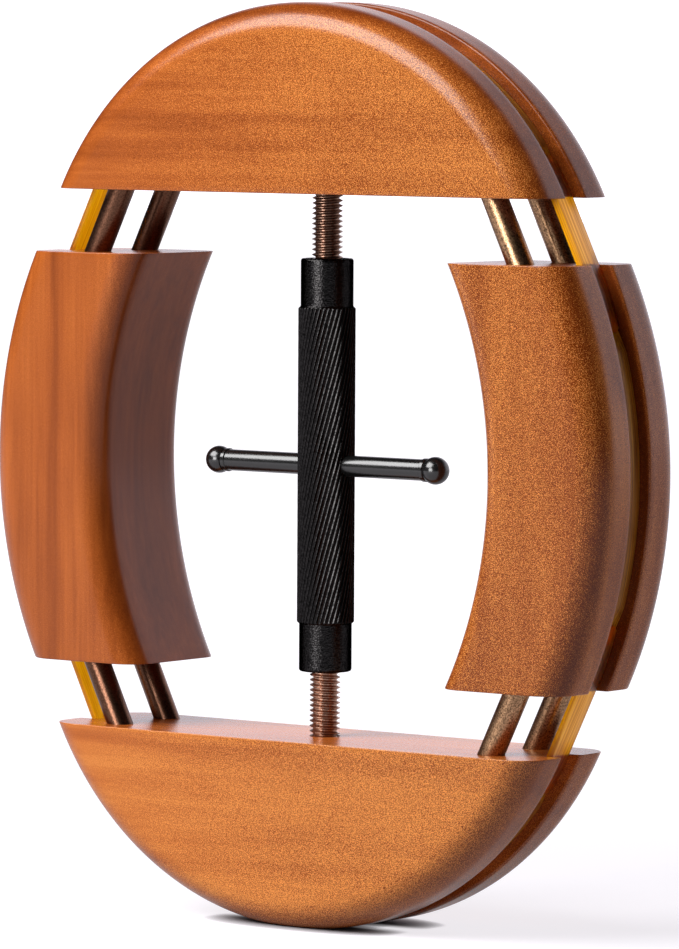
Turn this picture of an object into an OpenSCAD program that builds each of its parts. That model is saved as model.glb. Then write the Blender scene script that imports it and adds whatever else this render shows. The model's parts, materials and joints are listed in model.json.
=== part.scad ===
// Oval hat stretcher: four wooden blocks that a double-ended screw pushes apart.
// The two end blocks move along the screw. The two side blocks ride outwards on inclined guide rods.
// Sizes are in millimetres. +Z is up, the front faces -Y, and the origin is under the middle of the foot.

/* [Oval] */
// Length of the oval with the blocks closed up
oval_len = 155; // [146:0.5:172]
// Width of the oval with the blocks closed up
oval_w = 137; // [124:0.5:146]
// Slope of the guide rods, and of the rim where the blocks part
split_angle = 26; // [20:0.5:32]
// Gap between neighbouring blocks as shown, measured along the screw
open_gap = 12.5; // [1:0.5:28]
// Gap between neighbouring blocks at full opening
max_gap = 29; // [22:0.5:32]

/* [Wood blocks] */
// Thickness of the blocks from front to back
block_t = 28; // [24:0.5:36]
// Radius of the rounded outer edges
rim_round = 6; // [2:0.5:8]
// Width of the groove round the rim
groove_w = 6.1; // [4:0.1:8]
// Depth of the groove round the rim
groove_depth = 3.8; // [2.8:0.1:5]
// Width of a side block across its middle
side_w = 28; // [24:0.5:34]
// Radius of a side block's hollow inner face
inner_r = 88; // [70:1:120]
// Radius of the rounded inner edges
inner_round = 5; // [1:0.5:6]
// Width of the flat foot under the bottom block
foot_w = 16; // [8:0.5:24]

/* [Guide rods] */
// Diameter of a guide rod
rod_d = 5; // [4:0.1:6]
// Distance between the front rod and the rear rod
rod_spacing = 14.8; // [13:0.1:17]
// Distance from the outer corner of an end block to the rod's axis
rod_inset = 13.6; // [11:0.1:16]
// Depth of a rod's seat in its end block
rod_seat = 18; // [12:0.5:20]
// Length of rod still held in the side block at full opening
rod_grip = 6; // [3:0.5:8]
// Bevel on the tips of rods and screws
tip_bevel = 0.6; // [0.2:0.1:1]

/* [Guide strips] */
// Width of a guide strip
strip_w = 5.5; // [3.4:0.1:5.8]
// Thickness of a guide strip
strip_t = 1.4; // [0.8:0.1:2]
// Length of strip still held in each groove at full opening
strip_grip = 2.1; // [1:0.1:3]
// Share of the held length that lies in the end block's groove
strip_share = 0.45; // [0.3:0.01:0.6]
// Bevel on the corners of a strip
strip_bevel = 0.8; // [0.2:0.1:1.2]
// Thickness of the band that lines a groove between its two strips
band_t = 1.5; // [1:0.1:2]
// Thickness left at the thinned ends of a band
band_edge = 0.4; // [0.2:0.1:0.6]

/* [Turnbuckle] */
// Outside diameter of the screws
screw_d = 6; // [5:0.1:6.5]
// Depth of a screw's seat in its end block
screw_seat = 20; // [14:0.5:24]
// Diameter of the sleeve's smooth collars
collar_d = 10.3; // [9.6:0.1:12]
// Diameter of the sleeve's grip
grip_d = 11.2; // [10.4:0.1:14]
// Length of the sleeve's grip
grip_len = 62; // [50:0.5:66]
// Bevel on the ends of the sleeve
sleeve_bevel = 0.5; // [0.2:0.1:0.8]
// Outside diameter of a thread bush inside the sleeve
bush_d = 8; // [7.4:0.1:8.6]
// Length of a thread bush
bush_len = 8; // [6:0.1:10]
// Depth of a bush below the end of the sleeve
bush_sink = 0.4; // [0.2:0.1:1]
// Diameter of the cross bar
bar_d = 4.2; // [3:0.1:5]
// Length of the cross bar between the middles of its balls
bar_len = 53; // [44:0.5:60]
// Diameter of a ball
ball_d = 5.4; // [5:0.1:7]
// Diameter of the neck ring behind a ball
neck_d = 4.6; // [4.3:0.1:5.2]
// Length of the neck ring behind a ball
neck_len = 1.2; // [0.6:0.1:2]
// Diameter of the spigot that holds a ball on the bar
spigot_d = 2.4; // [1.6:0.1:2.8]
// Length of the spigot inside a ball
spigot_len = 2.2; // [1.5:0.1:3]

/* [Fits] */
// Radial clearance of a rod in its seat, a screw in its block and the bar in the sleeve
seat_fit = 0.02; // [0.01:0.01:0.04]
// Radial clearance of a rod that slides in a side block
slide_fit = 0.06; // [0.03:0.01:0.09]
// Radial clearance of a screw in a bush and of a bush in the sleeve
turn_fit = 0.05; // [0.02:0.01:0.09]
// Radial room round a screw inside the sleeve
screw_room = 0.5; // [0.3:0.1:0.7]
// Room past the tip of a rod, a screw or a spigot
tip_room = 0.8; // [0.4:0.1:2]
// Room between a strip and the floor of its groove
strip_lift = 0.2; // [0.1:0.05:0.4]
// Room between the thinned end of a band and the strip that slides in over it
band_room = 0.15; // [0.1:0.05:0.3]
// Axial play of a bush in its seat
bush_play = 0.05; // [0.02:0.01:0.1]

/* [Hidden] */
$fn = 96;
// Overrun of every cutting tool
over = 1;

// Four-centre oval: end arcs and side arcs share a tangent at the split
half_len = oval_len / 2;
half_w = oval_w / 2;
end_centre = (half_len - half_w) / (1 - tan(split_angle / 2));
end_r = half_len - end_centre;
side_r = end_r + end_centre / sin(split_angle);
split_x = end_r * cos(split_angle);
split_z = end_centre + end_r * sin(split_angle);

// Places of the blocks at the gap shown, measured from the middle of the sleeve
side_shift = open_gap * tan(split_angle);
end_face_z = split_z + open_gap;
end_centre_z = end_centre + open_gap;
side_centre_x = half_w + side_shift - side_r;
inner_centre_x = half_w + side_shift - side_w - inner_r;
foot_depth = end_r - sqrt(pow(end_r, 2) - pow(foot_w / 2, 2));
foot_z = half_len + open_gap - foot_depth;

// Lengths measured along the inclined rods
open_len = open_gap / cos(split_angle);
max_len = max_gap / cos(split_angle);
rod_free = max_len + rod_grip;
strip_len = max_len + 2 * strip_grip;
strip_held = strip_len - open_len;
strip_floor = groove_depth - strip_lift;
// Depth of the sloping face that thins a band under its strip
ramp_depth = strip_floor + band_room;
// Distance from the mouth of a groove to the end of its band
function band_start(r) = sqrt(pow(r - groove_depth + seat_fit + band_edge, 2) - pow(r - ramp_depth, 2));
// Reach of a block that cuts away everything past a plane
reach = 4 * side_r;

// Heights along the screw, measured from the middle of the sleeve
sleeve_half = bush_sink + bush_len + max_gap + bar_d / 2 + tip_room;
bush_top = sleeve_half - bush_sink;
bush_foot = bush_top - bush_len;
screw_tip = bush_foot - (max_gap - open_gap);
bar_end = bar_len / 2 - ball_d / 2;

// Carries a shape from the middle of the sleeve to its height above the foot
module lifted() {
    translate([0, 0, foot_z]) children();
}

// Turns a shape made for the right-hand side to the side asked for
module on_side(side) {
    if (side < 0) mirror([1, 0, 0]) children();
    else children();
}

// Turns a shape made for the upper half to the level asked for
module on_level(level) {
    if (level < 0) mirror([0, 0, 1]) children();
    else children();
}

// Frame along a guide rod: origin on the end block's face, +Z up into the end block
module along_rod(inset, depth) {
    translate([split_x - inset, depth, end_face_z]) rotate([0, -split_angle, 0]) children();
}

// Section of a rim from the arc's axis to its radius, with rounded edges and the groove
module rim_section(r) {
    difference() {
        union() {
            translate([0, -block_t / 2]) square([r - rim_round, block_t]);
            translate([0, rim_round - block_t / 2]) square([r, block_t - 2 * rim_round]);
            for (face = [-1, 1])
                translate([r - rim_round, face * (block_t / 2 - rim_round)]) circle(r = rim_round);
        }
        translate([r - groove_depth, -groove_w / 2]) square([groove_depth + over, groove_w]);
    }
}

// Section of the tool that hollows a side block and rounds the edges of the hollow
module hollow_section() {
    translate([0, -block_t / 2 - over]) square([inner_r, block_t + 2 * over]);
    for (face = [-1, 1])
        scale([1, face])
            difference() {
                translate([inner_r - over, block_t / 2 - inner_round])
                    square([inner_round + over, inner_round + over]);
                translate([inner_r + inner_round, block_t / 2 - inner_round]) circle(r = inner_round);
            }
}

// Turns a section about an axis that runs from front to back
module turned_disc() {
    rotate([90, 0, 0]) rotate_extrude() children();
}

// Hole for a guide rod, from a depth in the side block to a height in the end block
module rod_hole(low, high, fit) {
    for (side = [-1, 1], face = [-1, 1])
        on_side(side)
            along_rod(rod_inset, face * rod_spacing / 2)
                translate([0, 0, low]) cylinder(h = high - low, d = rod_d + 2 * fit);
}

// End block: a segment of a grooved disc with the seats of its rods and its screw
module end_block() {
    difference() {
        translate([0, 0, end_centre_z]) turned_disc() rim_section(end_r);
        translate([-end_r - over, -block_t, end_face_z - 2 * end_r])
            cube([2 * (end_r + over), 2 * block_t, 2 * end_r]);
        rod_hole(-rod_d, rod_seat + tip_room, seat_fit);
        translate([0, 0, end_face_z - over])
            cylinder(h = screw_seat + tip_room + over, d = screw_d + 2 * seat_fit);
    }
}

// Side block: a grooved disc cut level at both ends, hollowed inside, with bores for the rods
module side_block() {
    difference() {
        intersection() {
            translate([side_centre_x, 0, 0]) turned_disc() rim_section(side_r);
            translate([0, -block_t, -split_z]) cube([half_w + side_shift + over, 2 * block_t, 2 * split_z]);
        }
        translate([inner_centre_x, 0, 0]) turned_disc() hollow_section();
        for (level = [-1, 1])
            on_level(level) rod_hole(-open_len - rod_free - tip_room, 0, slide_fit);
    }
}

// Round bar with bevelled ends along +Z
module bevelled_bar(d, h) {
    rotate_extrude()
        polygon([
            [0, 0], [d / 2 - tip_bevel, 0], [d / 2, tip_bevel],
            [d / 2, h - tip_bevel], [d / 2 - tip_bevel, h], [0, h]
        ]);
}

// Guide rod, seated in an end block and free to slide in a side block
module guide_rod(level, side, face) {
    color("rosybrown")
        lifted() on_level(level) on_side(side)
            along_rod(rod_inset, face * rod_spacing / 2)
                translate([0, 0, -rod_free]) bevelled_bar(rod_d, rod_free + rod_seat);
}

// Guide strip, a springy leaf that bridges the gap in the groove of the rim
module guide_strip(level, side) {
    low = -open_len - (1 - strip_share) * strip_held;
    high = strip_share * strip_held;
    half = strip_w / 2;
    color("goldenrod")
        lifted() on_level(level) on_side(side)
            along_rod(0, 0)
                translate([-strip_floor, 0, 0])
                    rotate([90, 0, 90])
                        linear_extrude(strip_t)
                            polygon([
                                [strip_bevel - half, low], [half - strip_bevel, low],
                                [half, low + strip_bevel], [half, high - strip_bevel],
                                [half - strip_bevel, high], [strip_bevel - half, high],
                                [-half, high - strip_bevel], [-half, low + strip_bevel]
                            ]);
}

// Ring that lies on the floor of a groove in a rim of the given radius
module band_ring(r) {
    turned_disc()
        translate([r - groove_depth + seat_fit, seat_fit - groove_w / 2])
            square([band_t, groove_w - 2 * seat_fit]);
}

// Band in the groove of an end block, thinned where its two strips slide in over it
module end_band(level) {
    color("goldenrod")
        lifted() on_level(level)
            difference() {
                translate([0, 0, end_centre_z]) band_ring(end_r);
                for (side = [-1, 1])
                    on_side(side) along_rod(0, 0) {
                        translate([-reach, -block_t, band_start(end_r) - reach])
                            cube([2 * reach, 2 * block_t, reach]);
                        translate([-ramp_depth, -block_t, -reach]) cube([reach, 2 * block_t, 2 * reach]);
                    }
            }
}

// Band in the groove of a side block, thinned where its two strips slide in over it
module side_band(side) {
    color("goldenrod")
        lifted() on_side(side)
            difference() {
                translate([side_centre_x, 0, 0]) band_ring(side_r);
                for (level = [-1, 1])
                    on_level(level) along_rod(0, 0) {
                        translate([-reach, -block_t, -open_len - band_start(side_r)])
                            cube([2 * reach, 2 * block_t, reach]);
                        translate([-ramp_depth, -block_t, -reach]) cube([reach, 2 * block_t, 2 * reach]);
                    }
            }
}

module top_block() {
    color("peru") lifted() end_block();
}

module bottom_block() {
    color("peru") lifted()
        difference() {
            on_level(-1) end_block();
            translate([-end_r, -block_t, -foot_z - end_r]) cube([2 * end_r, 2 * block_t, end_r]);
        }
}

module left_block() {
    color("peru") lifted() on_side(-1) side_block();
}

module right_block() {
    color("peru") lifted() side_block();
}

// Screw, fixed in an end block and threaded into the sleeve's bush
module screw(level) {
    color("rosybrown")
        lifted() on_level(level)
            translate([0, 0, screw_tip]) bevelled_bar(screw_d, end_face_z + screw_seat - screw_tip);
}

// Thread bush in one end of the sleeve
module thread_bush(level) {
    color("dimgray")
        lifted() on_level(level)
            translate([0, 0, bush_foot])
                difference() {
                    cylinder(h = bush_len, d = bush_d - 2 * turn_fit);
                    translate([0, 0, -over]) cylinder(h = bush_len + 2 * over, d = screw_d + 2 * turn_fit);
                }
}

// Half of the sleeve's outline from its middle to its end
function sleeve_outline() = [
    [0, 0], [grip_d / 2, 0], [grip_d / 2, grip_len / 2 - (grip_d - collar_d) / 2],
    [collar_d / 2, grip_len / 2], [collar_d / 2, sleeve_half - sleeve_bevel],
    [collar_d / 2 - sleeve_bevel, sleeve_half], [0, sleeve_half]
];

module grip_sleeve() {
    color("black") lifted()
        difference() {
            for (level = [-1, 1])
                on_level(level) rotate_extrude() polygon(sleeve_outline());
            cylinder(h = 2 * (sleeve_half + over), d = screw_d + 2 * screw_room, center = true);
            for (level = [-1, 1])
                on_level(level)
                    translate([0, 0, bush_foot - bush_play])
                        cylinder(h = sleeve_half, d = bush_d);
            rotate([0, 90, 0]) cylinder(h = 2 * grip_d, d = bar_d + 2 * seat_fit, center = true);
        }
}

module cross_bar() {
    color("black") lifted() rotate([0, 90, 0]) {
        cylinder(h = 2 * bar_end, d = bar_d, center = true);
        cylinder(h = 2 * (bar_end + spigot_len), d = spigot_d, center = true);
    }
}

// Ball with a neck ring, on the spigot of the bar
module bar_ball(side) {
    color("black") lifted() on_side(side)
        translate([bar_end, 0, 0]) rotate([0, 90, 0])
            difference() {
                union() {
                    translate([0, 0, ball_d / 2]) sphere(d = ball_d);
                    cylinder(h = neck_len, d = neck_d);
                }
                translate([0, 0, -over])
                    cylinder(h = over + spigot_len + tip_room, d = spigot_d + 2 * seat_fit);
            }
}

top_block();
bottom_block();
left_block();
right_block();
guide_rod(1, -1, -1);  // upper_left_front_rod
guide_rod(1, -1, 1);  // upper_left_rear_rod
guide_rod(1, 1, -1);  // upper_right_front_rod
guide_rod(1, 1, 1);  // upper_right_rear_rod
guide_rod(-1, -1, -1);  // lower_left_front_rod
guide_rod(-1, -1, 1);  // lower_left_rear_rod
guide_rod(-1, 1, -1);  // lower_right_front_rod
guide_rod(-1, 1, 1);  // lower_right_rear_rod
guide_strip(1, -1);  // upper_left_strip
guide_strip(1, 1);  // upper_right_strip
guide_strip(-1, -1);  // lower_left_strip
guide_strip(-1, 1);  // lower_right_strip
end_band(1);  // top_band
end_band(-1);  // bottom_band
side_band(-1);  // left_band
side_band(1);  // right_band
screw(1);  // upper_screw
screw(-1);  // lower_screw
thread_bush(1);  // upper_thread_bush
thread_bush(-1);  // lower_thread_bush
grip_sleeve();
cross_bar();
bar_ball(-1);  // left_bar_ball
bar_ball(1);  // right_bar_ball
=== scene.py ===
# %% [markdown]
# # Hat stretcher
# A hat stretcher is an oval of four wooden blocks. Two screws of opposite hand run into one sleeve.
# Turning the sleeve pushes the end blocks apart, and the side blocks ride outwards on slanting rods.
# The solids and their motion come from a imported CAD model, which is loaded first and never moved.
# Every piece below is a finer skin for one of its solids, made in the same place.

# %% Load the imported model
import json
import math

import bmesh
import bpy
import numpy as np
from mathutils import Matrix
from mathutils.geometry import delaunay_2d_cdt

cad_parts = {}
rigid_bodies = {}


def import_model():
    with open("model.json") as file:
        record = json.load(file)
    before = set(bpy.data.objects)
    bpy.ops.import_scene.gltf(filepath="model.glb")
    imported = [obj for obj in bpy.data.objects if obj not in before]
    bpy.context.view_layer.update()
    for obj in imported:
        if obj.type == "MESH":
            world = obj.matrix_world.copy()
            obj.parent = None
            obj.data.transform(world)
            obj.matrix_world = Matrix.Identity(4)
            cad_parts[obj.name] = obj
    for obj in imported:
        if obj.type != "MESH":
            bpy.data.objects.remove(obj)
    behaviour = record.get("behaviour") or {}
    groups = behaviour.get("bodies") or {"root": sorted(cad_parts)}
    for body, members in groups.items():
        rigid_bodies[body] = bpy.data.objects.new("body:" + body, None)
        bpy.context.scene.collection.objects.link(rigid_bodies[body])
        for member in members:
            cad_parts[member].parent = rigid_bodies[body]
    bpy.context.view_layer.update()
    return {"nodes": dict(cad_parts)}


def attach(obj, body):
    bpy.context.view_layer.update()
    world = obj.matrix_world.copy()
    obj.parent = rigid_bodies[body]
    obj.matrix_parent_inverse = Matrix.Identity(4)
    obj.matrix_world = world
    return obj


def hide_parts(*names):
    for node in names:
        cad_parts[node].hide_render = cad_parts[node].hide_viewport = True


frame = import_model()

# %% [markdown]
# ## Sizes
# The sizes repeat those of the CAD source, in millimetres, measured from the middle of the sleeve.
# The oval has four centres: an end arc and a side arc share a tangent where the blocks part.
# Working from the same few numbers keeps each skin on its solid.

# %% Sizes of the oval and its blocks
MM = 0.001
SLOPE = math.radians(26)
HALF_LEN, HALF_W, GAP, MAX_GAP = 77.5, 68.5, 12.5, 29.0
BLOCK_T, RIM_ROUND, GROOVE_W, GROOVE_DEPTH = 28.0, 6.0, 6.1, 3.8
SIDE_W, INNER_R, INNER_ROUND, FOOT_W = 28.0, 88.0, 5.0, 16.0
END_CENTRE = (HALF_LEN - HALF_W) / (1 - math.tan(SLOPE / 2))
END_R = HALF_LEN - END_CENTRE
SIDE_R = END_R + END_CENTRE / math.sin(SLOPE)
SPLIT_X, SPLIT_Z = END_R * math.cos(SLOPE), END_CENTRE + END_R * math.sin(SLOPE)
SIDE_SHIFT = GAP * math.tan(SLOPE)
END_FACE_Z, END_CENTRE_Z = SPLIT_Z + GAP, END_CENTRE + GAP
SIDE_CENTRE_X = HALF_W + SIDE_SHIFT - SIDE_R
INNER_CENTRE_X = HALF_W + SIDE_SHIFT - SIDE_W - INNER_R
FOOT_Z = HALF_LEN + GAP - (END_R - math.sqrt(END_R**2 - (FOOT_W / 2) ** 2))
HALF_T, HALF_G = BLOCK_T / 2, GROOVE_W / 2
print("sleeve middle is %.2f mm above the foot" % FOOT_Z)

# %% Sizes of the rods and screws in the blocks
ROD_D, ROD_SPACING, ROD_INSET, ROD_SEAT, ROD_GRIP = 5.0, 14.8, 13.6, 18.0, 6.0
SCREW_D, SCREW_SEAT = 6.0, 20.0
SEAT_FIT, SLIDE_FIT, TIP_ROOM = 0.02, 0.06, 0.8
OPEN_LEN, MAX_LEN = GAP / math.cos(SLOPE), MAX_GAP / math.cos(SLOPE)
ROD_FREE = MAX_LEN + ROD_GRIP
ROD_X = SPLIT_X - ROD_INSET
print("a rod reaches %.2f mm out of its end block" % ROD_FREE)

# %% [markdown]
# ## Camera
# The photograph was taken with a long lens from the right, a little above the middle.
# Its place came from fitting the outline of these blocks to the outline in the photograph.
# A long lens far away keeps the ovals of both faces nearly the same size.

# %% Camera
AZIMUTH, ELEVATION, ROLL = (math.radians(a) for a in (37.297, 3.716, 0.3))
FOCAL_PX, PICTURE_H, SENSOR = 6888.75, 949, 36.0
OFF_RIGHT, OFF_UP, DISTANCE = -2.582, 1.875, 1342.6
back = np.array([
    math.sin(AZIMUTH) * math.cos(ELEVATION),
    -math.cos(AZIMUTH) * math.cos(ELEVATION),
    math.sin(ELEVATION),
])
level_right = np.array([math.cos(AZIMUTH), math.sin(AZIMUTH), 0.0])
level_up = np.cross(back, level_right)
right = math.cos(ROLL) * level_right + math.sin(ROLL) * level_up
up = -math.sin(ROLL) * level_right + math.cos(ROLL) * level_up
eye = (DISTANCE * back - OFF_RIGHT * right - OFF_UP * up + [0, 0, FOOT_Z]) * MM
camera = bpy.data.objects.new("camera", bpy.data.cameras.new("camera"))
camera.data.sensor_width = SENSOR
camera.data.lens = FOCAL_PX * SENSOR / PICTURE_H
camera.data.clip_start, camera.data.clip_end = 0.05, 50
pose = np.vstack([np.column_stack([right, up, back, eye]), [0, 0, 0, 1]])
camera.matrix_world = Matrix(pose.tolist())
bpy.context.scene.collection.objects.link(camera)
bpy.context.scene.camera = camera
print("lens %.1f mm, eye %s" % (camera.data.lens, np.round(eye, 3)))

# %% [markdown]
# ## From grids to pieces
# Each surface is a grid of points that one formula gives. A piece is a few such grids that share their
# borders. Welding equal points makes one closed skin of them, which then rides on the body of the solid
# it stands for.

# %% Sheets
def grid(points, wrap=False):
    """A sheet from points in rows and columns: each cell is two triangles.

    With wrap, the last column is joined to the first.
    """
    rows, cols = points.shape[:2]
    r = np.arange(rows - 1)[:, None] * cols
    c = np.arange(cols if wrap else cols - 1)[None]
    d = (c + 1) % cols
    a, b, e, f = r + c, r + d, r + cols + d, r + cols + c
    return points.reshape(-1, 3), np.stack([a, b, e, a, e, f], -1).reshape(-1, 3)


def fan(loop, middle):
    """A sheet that closes a loop: every edge of the loop makes a triangle with the middle point."""
    n = len(loop)
    i = np.arange(n)
    return np.vstack([loop, middle]), np.stack([i, (i + 1) % n, np.full(n, n)], -1)


def turned(profile, around):
    """A sheet turned about Z: each row of the profile is (radius, height), carried round the angles."""
    radius, height = profile.T[:, :, None]
    points = np.stack([radius * np.cos(around), radius * np.sin(around), height + 0 * around], -1)
    return grid(points, wrap=True)


def moved(sheets, change):
    """The same sheets with every point put through one change."""
    return [(change(points), faces) for points, faces in sheets]


print("a grid of 3 by 4 points makes %d triangles" % len(grid(np.zeros((3, 4, 3)))[1]))

# %% Welding
WELD, OFF_STEP = 1e-3, 0.137


def weld(sheets):
    """One skin from several sheets: points of one place become one, and faces that lose a corner go.

    Places are compared after rounding to the weld's step, off the round numbers where points are common.
    """
    points = np.concatenate([p for p, _ in sheets])
    starts = np.cumsum([0] + [len(p) for p, _ in sheets[:-1]])
    faces = np.concatenate([f + s for (_, f), s in zip(sheets, starts)])
    key = np.round(points / WELD + OFF_STEP)
    _, first, index = np.unique(key, axis=0, return_index=True, return_inverse=True)
    faces = index.reshape(-1)[faces]
    kept = (faces != np.roll(faces, 1, axis=1)).all(1)
    return points[first], faces[kept]


print("points within about %g mm are welded" % WELD)

# %% Pieces
SHARP = math.radians(38)


def piece(name, sheets, body, node, finish):
    """A closed piece in metres, above the foot, which rides on a body and stands for a CAD node."""
    points, faces = weld(sheets)
    mesh = bpy.data.meshes.new(name)
    mesh.from_pydata(((points + [0, 0, FOOT_Z]) * MM).tolist(), [], faces.tolist())
    shell = bmesh.new()
    shell.from_mesh(mesh)
    bmesh.ops.recalc_face_normals(shell, faces=shell.faces)
    open_edges = sum(e.is_boundary for e in shell.edges)
    shell.to_mesh(mesh)
    shell.free()
    mesh.shade_smooth()
    mesh.set_sharp_from_angle(angle=SHARP)
    mesh.materials.append(finish)
    made = bpy.data.objects.new(name, mesh)
    bpy.context.scene.collection.objects.link(made)
    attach(made, body)
    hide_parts(node)
    print("%s: %d triangles, %d open edges" % (name, len(mesh.polygons), open_edges))
    return made


print("edges past %.0f degrees stay sharp" % math.degrees(SHARP))

# %% [markdown]
# ## Shader helpers
# A finish is a Principled shader whose colour, roughness and bump come from node patterns. The patterns
# are groups, so that wood on all four blocks, or the fine grit on all black parts, is made once.

# %% Nodes for numbers
def wire(tree, out, into):
    """Joins an output socket to an input socket."""
    tree.links.new(out, into)


def math_node(tree, operation, a, b=0.5, c=0.5):
    """A Math node; a, b and c are sockets or numbers, and it ignores those that it has no use for."""
    made = tree.nodes.new("ShaderNodeMath")
    made.operation = operation
    for socket, value in zip(made.inputs, (a, b, c)):
        if isinstance(value, (int, float)):
            socket.default_value = value
        else:
            wire(tree, value, socket)
    return made.outputs[0]


def map_range(tree, value, start, end, low, high):
    """Low before start, high past end, and straight between them."""
    made = tree.nodes.new("ShaderNodeMapRange")
    for socket, number in zip(made.inputs[1:5], (start, end, low, high)):
        socket.default_value = number
    wire(tree, value, made.inputs[0])
    return made.outputs[0]


print("number helpers", wire.__name__, math_node.__name__, map_range.__name__)

# %% Nodes for patterns and colours
def noise(tree, vector, stretch, detail=2.0, rough=0.55):
    """Noise over a vector that is first multiplied by stretch: a larger number gives a finer pattern."""
    scaled = tree.nodes.new("ShaderNodeVectorMath")
    scaled.operation = "MULTIPLY"
    wire(tree, vector, scaled.inputs[0])
    scaled.inputs[1].default_value = stretch
    made = tree.nodes.new("ShaderNodeTexNoise")
    made.inputs["Scale"].default_value = 1.0
    made.inputs["Detail"].default_value = detail
    made.inputs["Roughness"].default_value = rough
    wire(tree, scaled.outputs[0], made.inputs["Vector"])
    return made.outputs["Fac"]


def ramp(tree, value, stops):
    """A colour ramp through (place, colour) stops."""
    made = tree.nodes.new("ShaderNodeValToRGB")
    elements = made.color_ramp.elements
    while len(elements) < len(stops):
        elements.new(0.5)
    for element, (place, colour) in zip(elements, stops):
        element.position = place
        element.color = (*colour, 1)
    wire(tree, value, made.inputs[0])
    return made.outputs[0]


print("pattern helpers", noise.__name__, ramp.__name__)

# %% Groups and finishes
def pattern_group(name, inputs, outputs):
    """An empty shader group with named sockets; returns the group and its input and output nodes."""
    group = bpy.data.node_groups.new(name, "ShaderNodeTree")
    for label, kind in inputs:
        group.interface.new_socket(label, in_out="INPUT", socket_type=kind)
    for label, kind in outputs:
        group.interface.new_socket(label, in_out="OUTPUT", socket_type=kind)
    return group, group.nodes.new("NodeGroupInput").outputs, group.nodes.new("NodeGroupOutput").inputs


def finish(name, **constants):
    """A new material with one Principled shader, whose constant values are set on its own sockets."""
    made = bpy.data.materials.new(name)
    made.use_nodes = True
    shader = made.node_tree.nodes["Principled BSDF"]
    for label, value in constants.items():
        shader.inputs[label.replace("_", " ")].default_value = value
    return made, made.node_tree, shader.inputs


def add_bump(tree, height, strength, distance_mm, normal_input):
    """Raises the surface by a height from 0 to 1 times a distance."""
    made = tree.nodes.new("ShaderNodeBump")
    made.inputs["Strength"].default_value = strength
    made.inputs["Distance"].default_value = distance_mm * MM
    wire(tree, height, made.inputs["Height"])
    wire(tree, made.outputs[0], normal_input)


def place(tree, group):
    """Puts a pattern group into a material."""
    made = tree.nodes.new("ShaderNodeGroup")
    made.node_tree = group
    return made


print("finish helpers", pattern_group.__name__, finish.__name__, add_bump.__name__, place.__name__)

# %% [markdown]
# ## Stained wood
# The blocks are a close-grained wood under a warm brown stain and a satin varnish. The stain leaves a
# fine speckle of pores, soft streaks along the grain, and a few darker growth lines. A picture of wood
# would have to be unwrapped. Noise in three dimensions needs no unwrapping, and runs on round the edges
# as real grain does, so one group makes the pattern from noise, along X.

# %% Wood pattern
SPECKLE, FIBRE, STREAK = (6200, 6800, 6800), (30, 900, 900), (9, 110, 110)
BLOTCH, BEND = (26, 38, 38), (7, 16, 16)
LINES_Z, LINES_Y, LINE_BEND, LINE_POWER, LINE_DARK = 300.0, 100.0, 6.0, 20.0, 0.15
FIBRE_SHARE, BLOTCH_SHARE, FIBRE_HEIGHT = 0.18, 0.22, 0.6
VARNISH_ROUGH, VARNISH_SWING = 0.20, 0.10
STAINS = [
    (0.24, (0.180, 0.032, 0.004)), (0.40, (0.330, 0.072, 0.010)), (0.50, (0.470, 0.112, 0.018)),
    (0.62, (0.640, 0.182, 0.032)), (0.80, (0.900, 0.340, 0.075)),
]


def wood_pattern():
    """Speckle, fibres, streaks and blotches, less growth lines, added up to one value for a ramp of stains.

    A growth line is a sine across the grain, bent by slow noise, and raised to a power that leaves its peaks.
    """
    number = "NodeSocketFloat"
    group, given, result = pattern_group(
        "wood_stain",
        [("Vector", "NodeSocketVector"), ("Sparkle", number), ("Streaks", number), ("Tone", number)],
        [("Color", "NodeSocketColor"), ("Roughness", number), ("Height", number)],
    )
    at = given["Vector"]
    speckle = noise(group, at, SPECKLE, 1.0)
    fibre = noise(group, at, FIBRE, 3.0)
    streak = noise(group, at, STREAK, 3.0, 0.6)
    blotch = noise(group, at, BLOTCH, 2.0)
    bend = noise(group, at, BEND, 2.0)
    split = group.nodes.new("ShaderNodeSeparateXYZ")
    wire(group, at, split.inputs[0])
    across = math_node(group, "ADD", math_node(group, "MULTIPLY", split.outputs["Z"], LINES_Z),
                       math_node(group, "MULTIPLY", split.outputs["Y"], LINES_Y))
    phase = math_node(group, "ADD", across, math_node(group, "MULTIPLY", bend, LINE_BEND))
    wave = math_node(group, "MULTIPLY_ADD", math_node(group, "SINE", phase), 0.5, 0.5)
    line = math_node(group, "MULTIPLY", math_node(group, "POWER", wave, LINE_POWER), blotch)
    total = math_node(group, "ADD", given["Tone"], 0.5)
    for value, share in ((speckle, given["Sparkle"]), (fibre, FIBRE_SHARE),
                         (streak, given["Streaks"]), (blotch, BLOTCH_SHARE)):
        swing = math_node(group, "SUBTRACT", value, 0.5)
        total = math_node(group, "ADD", total, math_node(group, "MULTIPLY", swing, share))
    total = math_node(group, "SUBTRACT", total, math_node(group, "MULTIPLY", line, LINE_DARK))
    wire(group, ramp(group, total, STAINS), result["Color"])
    rough = math_node(group, "MULTIPLY_ADD", speckle, VARNISH_SWING, VARNISH_ROUGH)
    wire(group, rough, result["Roughness"])
    wire(group, math_node(group, "MULTIPLY_ADD", fibre, FIBRE_HEIGHT, speckle), result["Height"])
    return group


WOOD = wood_pattern()
print("wood pattern has %d nodes" % len(WOOD.nodes))
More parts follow.
